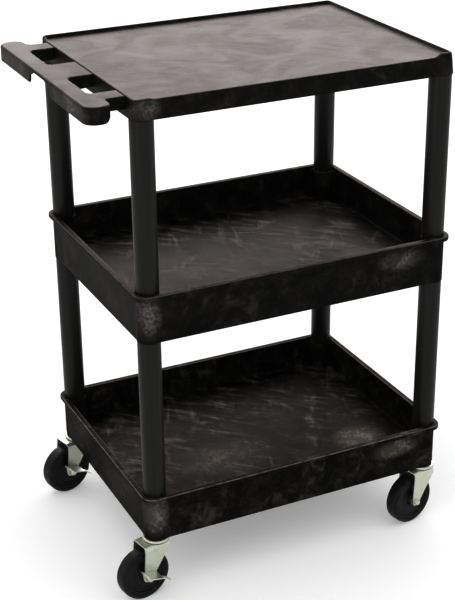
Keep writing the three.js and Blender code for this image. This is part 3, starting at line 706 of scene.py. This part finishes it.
def axle_bushing():
    half, edge = FORK_HALF - FORK_SHEET - 0.3, 0.4
    corners = [(AXLE_RADIUS + 0.3, -half, edge), (BUSHING_RADIUS, -half, edge), (BUSHING_RADIUS, half, edge),
               (AXLE_RADIUS + 0.3, half, edge)]
    return turned_across(lathe(round_corners(corners, 3), 64))


def hex_prism(levels, bore=None, sides=72):
    """A hexagon about Z, cut back to a cone at its chamfered ends. Levels are (z, cone radius)."""
    apothem = NUT_RADIUS * math.cos(math.pi / 6)
    angles = np.arange(sides) * 2 * math.pi / sides
    flat = apothem / np.cos((angles + math.pi / 6) % (math.pi / 3) - math.pi / 6)

    def ring(radius, z):
        return np.column_stack([radius * np.cos(angles), radius * np.sin(angles), np.full(sides, z)])

    rings = [ring(np.minimum(flat, cone), z) for z, cone in levels]
    if bore is None:
        return loft(rings)
    low, high = levels[0][0], levels[-1][0]
    rings += [ring(bore + 0.5, high), ring(bore, high - 0.5), ring(bore, low + 0.5), ring(bore + 0.5, low)]
    return loft(rings, caps=False)


def axle_bolt(outboard):
    """Hex head on the +Y side, threaded end on the -Y side."""
    head = FORK_HALF + 0.3
    tip = -(FORK_HALF + outboard + NUT_HEIGHT + 3)
    thick = NUT_HEIGHT * 0.8
    cone = NUT_RADIUS * 0.9
    levels = [
        (head, NUT_RADIUS * 0.94), (head + 0.5, NUT_RADIUS),
        (head + thick - 1, NUT_RADIUS), (head + thick, cone),
    ]
    shank = [(0, tip), (AXLE_RADIUS - 0.9, tip), (AXLE_RADIUS - 0.3, tip + 0.6)]
    thread_end, pitch = tip + NUT_HEIGHT + 4, 1.25
    z = tip + 0.9
    while z < thread_end:
        shank += [(AXLE_RADIUS, z), (AXLE_RADIUS - 0.6, z + pitch / 2)]
        z += pitch
    shank += [(AXLE_RADIUS, z), (AXLE_RADIUS, head + 0.4), (0, head + 0.4)]
    return [turned_across(hex_prism(levels)), turned_across(lathe(shank, 48))]


def axle_nut(outboard):
    """Lock nut: a chamfered hexagon with a round collar outside it."""
    y1 = -(FORK_HALF + outboard + 0.3)
    y0 = y1 - NUT_HEIGHT
    collar = NUT_RADIUS * 0.78
    levels = [(y0, collar - 0.5), (y0 + 0.4, collar), (y0 + 1.7, collar), (y0 + 1.9, NUT_RADIUS * 0.88),
              (y0 + 2.7, NUT_RADIUS), (y1 - 0.6, NUT_RADIUS), (y1, NUT_RADIUS * 0.93)]
    return turned_across(hex_prism(levels, AXLE_RADIUS + 0.3))


def brake_pedal():
    """Bent sheet on the axle: a web, a tread folded outwards with a turned-up rear edge, and a tongue.

    Known fault: the web is thickened inwards and the tread upwards, about PEDAL_SHEET too far.
    """
    y_web = -(FORK_HALF + 0.3)
    slope = math.tan(math.radians(PEDAL_TILT))
    bend = 3.0
    eye = FORK_TIP_RADIUS + 1.5
    shares = np.array((0, 0.03, 0.08, 0.15, 0.3, 0.5, 0.7, 0.85, 0.94, 1))

    def turned_up(x):
        return 4.2 * np.clip((-x - PEDAL_REAR + 6.5) / 6.5, 0, 1) ** 2

    grid = []
    for drop in (0.02, 0.12, 0.3, 0.55, 0.85, 1.0):
        half = eye * math.sin(math.acos(1 - drop)) if drop < 1 else eye
        grid.append([(-half + share * 2 * half, y_web, -eye * (1 - drop)) for share in shares])
    top = PEDAL_RISE + PEDAL_SHEET
    for share_up in (0.35, 0.6, 0.8):
        half = eye + 1.5 * share_up
        xs = -half + shares * 2 * half
        grid.append([(x, y_web, share_up * (top - bend - slope * x)) for x in xs])
    neck = eye + 1.5
    for angle in np.linspace(0, math.pi / 2, 6):
        wide = smooth(angle, 0, math.pi / 2)
        rear, front = -neck - wide * (PEDAL_REAR - neck), neck + wide * (PEDAL_FRONT - neck)
        row = []
        for share in shares:
            x = rear + share * (front - rear)
            z = top - bend * (1 - math.sin(angle)) - slope * x + wide * turned_up(x)
            row.append((x, y_web - bend * (1 - math.cos(angle)), z))
        grid.append(row)
    reach = y_web - PEDAL_REACH
    trims = [(y_web - 8, 0), (y_web - 16, 0), (reach + 6, 0)]
    trims += [(reach + 2, 0.6), (reach + 0.5, 2.2), (reach, 4.5)]
    for y, trim in trims:
        rear, front = -PEDAL_REAR + trim, PEDAL_FRONT - trim
        xs = rear + shares * (front - rear)
        grid.append([(x, y, top - slope * x + turned_up(x)) for x in xs])
    web = thick_sheet(np.array(grid)[:, ::-1], PEDAL_SHEET)

    tongue_y = y_web - TONGUE_OFFSET
    steep = math.tan(math.radians(TONGUE_DROP))
    strip = []
    for s in np.linspace(0, 1, 14):
        run = -3 + s * (TONGUE_LENGTH * math.cos(math.radians(TONGUE_DROP)) + 5)
        x = PEDAL_FRONT + run
        z = top - 0.05 - slope * x - (steep - slope) * max(run + 1.5, 0) ** 2 / (max(run + 1.5, 0) + 3)
        half = TONGUE_WIDTH / 2 * math.sqrt(max(1 - max((s - 0.84) / 0.17, 0) ** 2, 0.05))
        middle = tongue_y - TONGUE_WIDTH / 2
        strip.append([(x, middle + half * t, z) for t in (-1, -0.8, -0.4, 0, 0.4, 0.8, 1)])
    tongue = thick_sheet(np.array(strip), PEDAL_SHEET)
    return [web, tongue]


# ---- Materials -----------------------------------------------------------------------------------
class Nodes:
    """Short way to write a node tree. Inputs that are sockets are linked, others are set."""

    def __init__(self, name):
        self.material = bpy.data.materials.new(name)
        self.material.use_nodes = True
        self.tree = self.material.node_tree
        self.tree.nodes.clear()

    def add(self, kind, inputs=None, **settings):
        node = self.tree.nodes.new(kind)
        for key, value in settings.items():
            setattr(node, key, value)
        for key, value in (inputs or {}).items():
            if isinstance(value, bpy.types.NodeSocket):
                self.tree.links.new(value, node.inputs[key])
            else:
                node.inputs[key].default_value = value
        return node

    def coords(self):
        return self.add("ShaderNodeTexCoord").outputs["Object"]

    def mapped(self, vector, scale=(1, 1, 1), rotation=(0, 0, 0)):
        turned = self.add("ShaderNodeMapping", {"Vector": vector, "Rotation": rotation}).outputs["Vector"]
        return self.add("ShaderNodeMapping", {"Vector": turned, "Scale": scale}).outputs["Vector"]

    def noise(self, vector, scale, detail=4.0, roughness=0.55, distortion=0.0):
        inputs = {"Vector": vector, "Scale": scale, "Detail": detail}
        inputs |= {"Roughness": roughness, "Distortion": distortion}
        return self.add("ShaderNodeTexNoise", inputs).outputs["Fac"]

    def voronoi(self, vector, scale):
        return self.add("ShaderNodeTexVoronoi", {"Vector": vector, "Scale": scale}).outputs["Distance"]

    def ramp(self, value, low, high, to_low=0.0, to_high=1.0):
        inputs = {"Value": value, "From Min": low, "From Max": high, "To Min": to_low, "To Max": to_high}
        return self.add("ShaderNodeMapRange", inputs, interpolation_type="SMOOTHSTEP").outputs["Result"]

    def math(self, operation, a, b=0.0, clamp=False):
        return self.add("ShaderNodeMath", {0: a, 1: b}, operation=operation, use_clamp=clamp).outputs[0]

    def mix(self, factor, a, b):
        return self.add("ShaderNodeMix", {0: factor, 6: a, 7: b}, data_type="RGBA").outputs[2]

    def bump(self, height, strength, distance, normal=None):
        inputs = {"Height": height, "Strength": strength, "Distance": distance * MM}
        if normal is not None:
            inputs["Normal"] = normal
        return self.add("ShaderNodeBump", inputs).outputs["Normal"]

    def near(self, vector, place, radii):
        """1 at a place of the object, falling to 0 at the radii, all in metres."""
        inputs = {0: vector, 1: place}
        away = self.add("ShaderNodeVectorMath", inputs, operation="SUBTRACT").outputs["Vector"]
        scaled = self.add("ShaderNodeVectorMath", {0: away, 1: radii}, operation="DIVIDE").outputs["Vector"]
        length = self.add("ShaderNodeVectorMath", {0: scaled}, operation="LENGTH").outputs["Value"]
        return self.ramp(length, 1.0, 0.15)

    def upward(self, low=0.5, high=0.95):
        geometry = self.add("ShaderNodeNewGeometry")
        parts = self.add("ShaderNodeSeparateXYZ", {0: geometry.outputs["True Normal"]})
        return self.ramp(parts.outputs["Z"], low, high)

    def finish(self, colour, roughness, normal, **constants):
        inputs = {"Base Color": colour, "Roughness": roughness, "Normal": normal}
        shader = self.add("ShaderNodeBsdfPrincipled", inputs)
        for key, value in constants.items():
            shader.inputs[key.replace("_", " ")].default_value = value
        output = self.add("ShaderNodeOutputMaterial")
        self.tree.links.new(shader.outputs[0], output.inputs["Surface"])
        return self.material


def shade(value, warm=0.06):
    """A slightly warm grey of a linear brightness."""
    return (value * (1 + warm), value, value * (1 - warm), 1)


def shelf_plastic(name, wear_and_highlight_places=(), swirls=1.0, mark_brightness=0.11, roughest=0.54, ior=1.14):
    """Moulded black plastic: pebbled skin, cloudy greying, brushed swirls on flat faces, chalky wear, and
    lighter edge lines and spots that are partly wear and partly painted highlights.
    """
    n = Nodes(name)
    at = n.coords()
    cloud = n.noise(at, 9, 6, 0.62, 1.4)
    patches = n.noise(at, 26, 5, 0.6, 0.8)
    strokes = n.noise(n.mapped(at, (4, 17, 9), (0, 0, 0.75)), 2.1, 6, 0.6, 1.3)
    cross = n.noise(n.mapped(at, (14, 4, 9), (0, 0, 0.35)), 1.9, 6, 0.6, 1.6)
    marks = n.math("ADD", n.ramp(strokes, 0.46, 0.74), n.ramp(cross, 0.5, 0.78), clamp=True)
    marks = n.math("MULTIPLY", marks, n.ramp(cloud, 0.34, 0.64))
    marks = n.math("MULTIPLY", marks, n.math("ADD", n.math("MULTIPLY", n.upward(), 0.6 * swirls), 0.2))
    chalk = n.math("MULTIPLY", n.ramp(patches, 0.42, 0.66), n.ramp(n.noise(at, 190, 3), 0.35, 0.6))
    wear_and_highlight = n.math("MULTIPLY", chalk, 0.06)
    # Places painted lighter: wear, and at some places partly painted highlights.
    for place, radii, strength in wear_and_highlight_places:
        spot = n.math("MULTIPLY", n.near(at, place, radii), strength)
        broken = n.math("ADD", n.math("MULTIPLY", chalk, 0.7), 0.3)
        wear_and_highlight = n.math("MAXIMUM", wear_and_highlight, n.math("MULTIPLY", spot, broken))
    # Lighter lines on the marked edges: partly rubbed wear, partly painted highlights.
    edge = n.add("ShaderNodeAttribute", attribute_name="edge_wear_and_highlight").outputs["Fac"]
    edge = n.math("MULTIPLY", n.math("MULTIPLY", edge, 0.75), n.ramp(n.noise(at, 70, 4), 0.3, 0.6, 0.35, 1))
    amount = n.math("MAXIMUM", n.math("MAXIMUM", marks, wear_and_highlight), edge)
    colour = n.mix(n.ramp(cloud, 0.3, 0.7), shade(0.0034), shade(0.0067, 0.09))
    colour = n.mix(amount, colour, shade(mark_brightness, 0.09))
    skin = n.ramp(cloud, 0.3, 0.7, roughest - 0.1, roughest)
    roughness = n.math("ADD", skin, n.math("MULTIPLY", amount, 0.12))
    pebble = n.noise(at, 620, 2, 0.5)
    normal = n.bump(n.noise(at, 60, 3), 0.10, 0.6, n.bump(pebble, 0.35, 0.25))
    return n.finish(colour, roughness, normal, IOR=ior)


def leg_plastic():
    """Extruded tube: satin skin with fine lengthwise drawing lines and a few rubs."""
    n = Nodes("leg_plastic")
    at = n.coords()
    lines = n.noise(n.mapped(at, (260, 260, 2.2)), 1.0, 4, 0.6)
    rubs = n.ramp(n.noise(n.mapped(at, (40, 40, 9)), 1.0, 6, 0.65, 0.8), 0.6, 0.78)
    colour = n.mix(n.ramp(lines, 0.3, 0.7), shade(0.006), shade(0.0115, 0.08))
    colour = n.mix(n.math("MULTIPLY", rubs, 0.35), colour, shade(0.05, 0.08))
    roughness = n.ramp(lines, 0.3, 0.7, 0.36, 0.46)
    normal = n.bump(lines, 0.12, 0.12, n.bump(n.noise(at, 700, 2), 0.12, 0.1))
    return n.finish(colour, roughness, normal, IOR=1.3)


def zinc_steel(name, tint=(0.56, 0.58, 0.52, 1)):
    """Bright zinc plating: faint yellow-green bloom, spangle, fine scratches and dull spots."""
    n = Nodes(name)
    at = n.coords()
    bloom = n.noise(at, 45, 5, 0.6, 0.6)
    spangle = n.voronoi(at, 260)
    scratches = n.noise(n.mapped(at, (90, 90, 700), (0.3, 0.5, 0)), 1.0, 3, 0.6)
    dull = (tint[0] * 0.72, tint[1] * 0.74, tint[2] * 0.70, 1)
    yellow = (tint[0] * 0.96, tint[1] * 0.96, tint[2] * 0.84, 1)
    colour = n.mix(n.ramp(bloom, 0.32, 0.68), tint, yellow)
    colour = n.mix(n.ramp(n.noise(at, 120, 4, 0.65), 0.56, 0.74), colour, dull)
    roughness = n.math("ADD", n.ramp(bloom, 0.3, 0.7, 0.3, 0.42), n.math("MULTIPLY", spangle, 0.06))
    normal = n.bump(scratches, 0.08, 0.1, n.bump(n.noise(at, 330, 3), 0.10, 0.15))
    return n.finish(colour, roughness, normal, Metallic=0.92)


def wheel_rubber():
    """Hard black rubber: greyed tread with fine pits, and faint dust."""
    n = Nodes("wheel_rubber")
    at = n.coords()
    dust = n.noise(at, 60, 6, 0.65, 0.7)
    pits = n.voronoi(at, 900)
    colour = n.mix(n.ramp(dust, 0.42, 0.72), shade(0.005, 0), shade(0.02, 0.03))
    roughness = n.ramp(dust, 0.3, 0.7, 0.42, 0.58)
    normal = n.bump(n.noise(at, 420, 3), 0.18, 0.2, n.bump(pits, 0.08, 0.1))
    return n.finish(colour, roughness, normal, IOR=1.26)


def hub_plastic():
    """Glass-filled black plastic: fine flow marks round the boss."""
    n = Nodes("hub_plastic")
    at = n.coords()
    flow = n.noise(at, 110, 5, 0.6, 1.5)
    colour = n.mix(n.ramp(flow, 0.35, 0.7), shade(0.005, 0), shade(0.014, 0.03))
    roughness = n.ramp(flow, 0.3, 0.7, 0.4, 0.55)
    normal = n.bump(n.noise(at, 800, 2), 0.16, 0.12, n.bump(flow, 0.06, 0.2))
    return n.finish(colour, roughness, normal, IOR=1.26)


def bearing_steel():
    """Oiled bearing steel: darker than the plated sheet, with thin oil stains."""
    n = Nodes("bearing_steel")
    at = n.coords()
    stain = n.noise(at, 240, 4, 0.6, 0.8)
    colour = n.mix(n.ramp(stain, 0.4, 0.7), (0.46, 0.46, 0.45, 1), (0.24, 0.22, 0.18, 1))
    roughness = n.ramp(stain, 0.3, 0.7, 0.2, 0.36)
    normal = n.bump(n.noise(at, 900, 2), 0.05, 0.06)
    return n.finish(colour, roughness, normal, Metallic=0.95)


def place(x, y, z):
    """A point of the object in metres, from millimetres measured from the shelves' centre."""
    return (PLAN.x + x) * MM, (PLAN.y + y) * MM, z * MM


def tub_wear_and_highlight(z):
    """Where a tub is painted lighter, as (place, radii, strength): the front left corner, partly scuffed and
    partly a painted highlight of the curved corner catching light, and rubbed grey walls and floor.
    """
    left, front = -TUB_BASE[0], -TUB_BASE[1]
    spots = [
        # Painted highlight where the curved corner column catches light, together with scuffs.
        ((-LEG_X - 9, front, 55), (36, 44, 60), 0.95),
        ((left, -90, 45), (20, 170, 60), 0.22),
        ((left, 120, 60), (20, 90, 40), 0.2),
        ((212, front, 62), (66, 24, 28), 0.85),
        ((205, -110, FLOOR_TOP), (70, 60, 16), 0.8),
        ((-80, -60, FLOOR_TOP), (150, 90, 16), 0.35),
    ]
    return [
        (place(x, y, z + up), tuple(r * MM for r in radii), strength)
        for (x, y, up), radii, strength in spots
    ]


# ---- The cart -------------------------------------------------------------------------------------
def at_plan(z):
    return Matrix.Translation((PLAN.x, PLAN.y, z))


def build_shelves():
    under = DECK_Z - DECK_THICKNESS
    rib_half = grown(SKIRT, -SKIRT_WALL - HOLLOW_DRAFT + 1)
    corner_wear = [(place(-LEG_X, -SHELF_TOP[1], SHELF_Z + 18), (0.04, 0.03, 0.03), 0.8)]
    shelf_look = shelf_plastic("top_shelf_plastic", corner_wear, 0.75)
    parts = [shelf_shell(), *ribs(rib_half, under), *spigots(-SPIGOT_LENGTH, 1)]
    add_piece("top_shelf_shell", parts, shelf_look, "cart_frame", "top_shelf",
              at_plan(SHELF_Z))

    rib_half = grown(TUB_BASE, -WALL + 1)
    under = FLOOR_TOP - FLOOR_THICKNESS
    tubs = (("middle_tub", MIDDLE_TUB_Z, 0.9, 0.11, 1.12), ("bottom_tub", BOTTOM_TUB_Z, 0.4, 0.18, 1.085))
    for node, z, swirls, mark_brightness, ior in tubs:
        parts = [tub_shell(), *ribs(rib_half, under), *spigots(SEAT_Z - 1, SEAT_Z + SPIGOT_LENGTH)]
        if node == "middle_tub":
            parts += spigots(-SPIGOT_LENGTH, 1)
        look = shelf_plastic(node + "_plastic", tub_wear_and_highlight(z), swirls, mark_brightness, roughest=0.6, ior=ior)
        add_piece(node + "_shell", parts, look, "cart_frame", node, at_plan(z))

    # The pods' outer skirts painted lighter: partly wear, partly painted highlights along their rounded lower
    # edges.
    pods = [(place(-HANDLE_OUTER, side * 150, SHELF_Z + 20), (0.014, 0.13, 0.03), 0.85) for side in (-1, 1)]
    handle_look = shelf_plastic("handle_plastic", pods, 0.5)
    add_piece("push_handle_shell", [handle_shell()], handle_look, "cart_frame", "push_handle",
              at_plan(SHELF_Z + HANDLE_TOP))


def build_legs():
    look = leg_plastic()
    for corner in CORNERS:
        for storey in ("upper", "lower"):
            node = f"{storey}_leg_{corner}"
            low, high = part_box(node)
            middle = (low + high) / 2 / MM
            part = leg_tube(low.z / MM, high.z / MM)
            stand = Matrix.Translation((middle.x, middle.y, 0))
            add_piece(node + "_tube", [part], look, "cart_frame", node, stand)


def build_casters():
    zinc = zinc_steel("zinc_steel")
    bright = zinc_steel("pedal_zinc", (0.66, 0.67, 0.64, 1))
    rubber, hub, bearing = wheel_rubber(), hub_plastic(), bearing_steel()
    for corner in CORNERS:
        swivel = JOINTS["caster_swivel_" + corner]
        roll = JOINTS["wheel_roll_" + corner]
        yaw = math.atan2(-roll["axis"][0], roll["axis"][1])
        x, y = swivel["pos_m"][0] / MM, swivel["pos_m"][1] / MM
        stand = Matrix.Translation((x, y, 0)) @ Matrix.Rotation(yaw, 4, "Z")
        axle = stand @ Matrix.Translation((-TRAIL, 0, WHEEL_RADIUS))
        outboard = PEDAL_SHEET + 0.3 if corner in BRAKED else 0

        def add(name, parts, look, body, matrix):
            return add_piece(f"{name}_{corner}_shape", parts, look, body, f"{name}_{corner}", matrix)

        add("caster_stem", [caster_stem()], zinc, "cart_frame", stand)
        add("swivel_cup", [swivel_cup()], zinc, "cart_frame", stand)
        add("ball_race", ball_race(), bearing, "cart_frame", stand)
        soften(add("caster_fork", caster_fork(), zinc, "swivel_" + corner, stand), 0.5)
        add("wheel_tyre", [wheel_tyre()], rubber, "wheel_" + corner, axle)
        add("wheel_hub", [wheel_hub()], hub, "wheel_" + corner, axle)
        add("axle_bushing", [axle_bushing()], bearing, "swivel_" + corner, axle)
        add("axle_bolt", axle_bolt(outboard), zinc, "swivel_" + corner, axle)
        add("axle_nut", [axle_nut(outboard)], zinc, "swivel_" + corner, axle)
        if corner in BRAKED:
            soften(add("brake_pedal", brake_pedal(), bright, "brake_" + corner, axle), 0.4)


def dress_screws():
    look = zinc_steel("screw_zinc", (0.5, 0.5, 0.47, 1))
    for node_name, node in frame["nodes"].items():
        if node_name.startswith("handle_screw"):
            node.data.materials.clear()
            node.data.materials.append(look)
            soften(node, 0.3)


# ---- Floor, light and camera ----------------------------------------------------------------------
CAMERA_YAW = 0.451  # the view's turn from +Y towards +X, which the back light also stands on


def build_floor():
    bm = bmesh.new()
    size, steps = 30.0, 6
    bmesh.ops.create_grid(bm, x_segments=steps, y_segments=steps, size=size)
    mesh = bpy.data.meshes.new("studio_floor")
    bm.to_mesh(mesh)
    bm.free()
    floor = bpy.data.objects.new("studio_floor", mesh)
    bpy.context.scene.collection.objects.link(floor)
    n = Nodes("studio_floor")
    grain = n.noise(n.coords(), 3, 3)
    colour = n.mix(grain, (0.88, 0.88, 0.88, 1), (0.9, 0.9, 0.9, 1))
    glow = {"Emission_Color": (1, 1, 1, 1), "Emission_Strength": 0.22}
    look = n.finish(colour, n.ramp(grain, 0, 1, 0.85, 0.95), n.bump(grain, 0.02, 0.5), **glow)
    mesh.materials.append(look)
    return floor


def softbox(name, position, target, width, height, radiance, colour=(1, 1, 1)):
    light = bpy.data.lights.new(name, "AREA")
    light.color = colour
    light.shape = "RECTANGLE"
    light.size, light.size_y = width, height
    light.energy = radiance * 4 * width * height
    lamp = bpy.data.objects.new(name, light)
    bpy.context.scene.collection.objects.link(lamp)
    lamp.location = position
    lamp.rotation_euler = (Vector(target) - Vector(position)).to_track_quat("-Z", "Y").to_euler()
    lamp.visible_camera = False
    return lamp


def build_camera():
    """A long lens from the front left, looking down from above the top shelf."""
    stand = Vector((-1154.2, -2355.2, 1665.1))
    pitch, roll, yaw = 0.422, -0.008, CAMERA_YAW
    forward = Vector((math.sin(yaw) * math.cos(pitch), math.cos(yaw) * math.cos(pitch), -math.sin(pitch)))
    level_right = Vector((math.cos(yaw), -math.sin(yaw), 0))
    level_up = level_right.cross(forward)
    right = level_right * math.cos(roll) + level_up * math.sin(roll)
    up = level_up * math.cos(roll) - level_right * math.sin(roll)
    data = bpy.data.cameras.new("camera")
    data.sensor_width = 36
    data.lens = 87.77
    data.shift_x, data.shift_y = -0.0184, -0.0234
    data.clip_end = 200
    camera = bpy.data.objects.new("camera", data)
    bpy.context.scene.collection.objects.link(camera)
    axes = Matrix((right, up, -forward)).transposed().to_4x4()
    where = (stand + Vector((PLAN.x, PLAN.y, 0))) * MM
    camera.matrix_world = Matrix.Translation(where) @ axes
    bpy.context.scene.camera = camera


def keep_off(lamp, thing):
    """Leaves one object unlit by a lamp, so that it throws no shadow of that lamp's light either."""
    unlit = bpy.data.collections.new(lamp.name + "_unlit")
    unlit.objects.link(thing)
    unlit.collection_objects[0].light_linking.link_state = "EXCLUDE"
    lamp.light_linking.receiver_collection = unlit


def build_lights(floor):
    """A wide warm source behind the cart, a weak one at the left and a white surround."""
    middle = Vector((PLAN.x, PLAN.y, 0)) * MM + Vector((0, 0, 0.6))
    away = Vector((math.sin(CAMERA_YAW), math.cos(CAMERA_YAW), 0))
    back = middle + away * 3.4 + Vector((0, 0, 2.25))
    keep_off(softbox("back_softbox", back, middle, 5.2, 3.0, 7.0, (1, 0.9, 0.88)), floor)
    softbox("left_softbox", middle + Vector((-2.6, -1.2, 0.5)), middle, 0.7, 2.2, 1.2)
    world = bpy.data.worlds.new("studio")
    world.use_nodes = True
    background = world.node_tree.nodes["Background"]
    background.inputs["Color"].default_value = (1, 1, 1, 1)
    background.inputs["Strength"].default_value = 1.12
    bpy.context.scene.world = world
    bpy.context.scene.view_settings.view_transform = "Standard"
    bpy.context.scene.view_settings.gamma = 0.8


build_camera()
build_shelves()
build_legs()
build_casters()
dress_screws()
build_lights(build_floor())
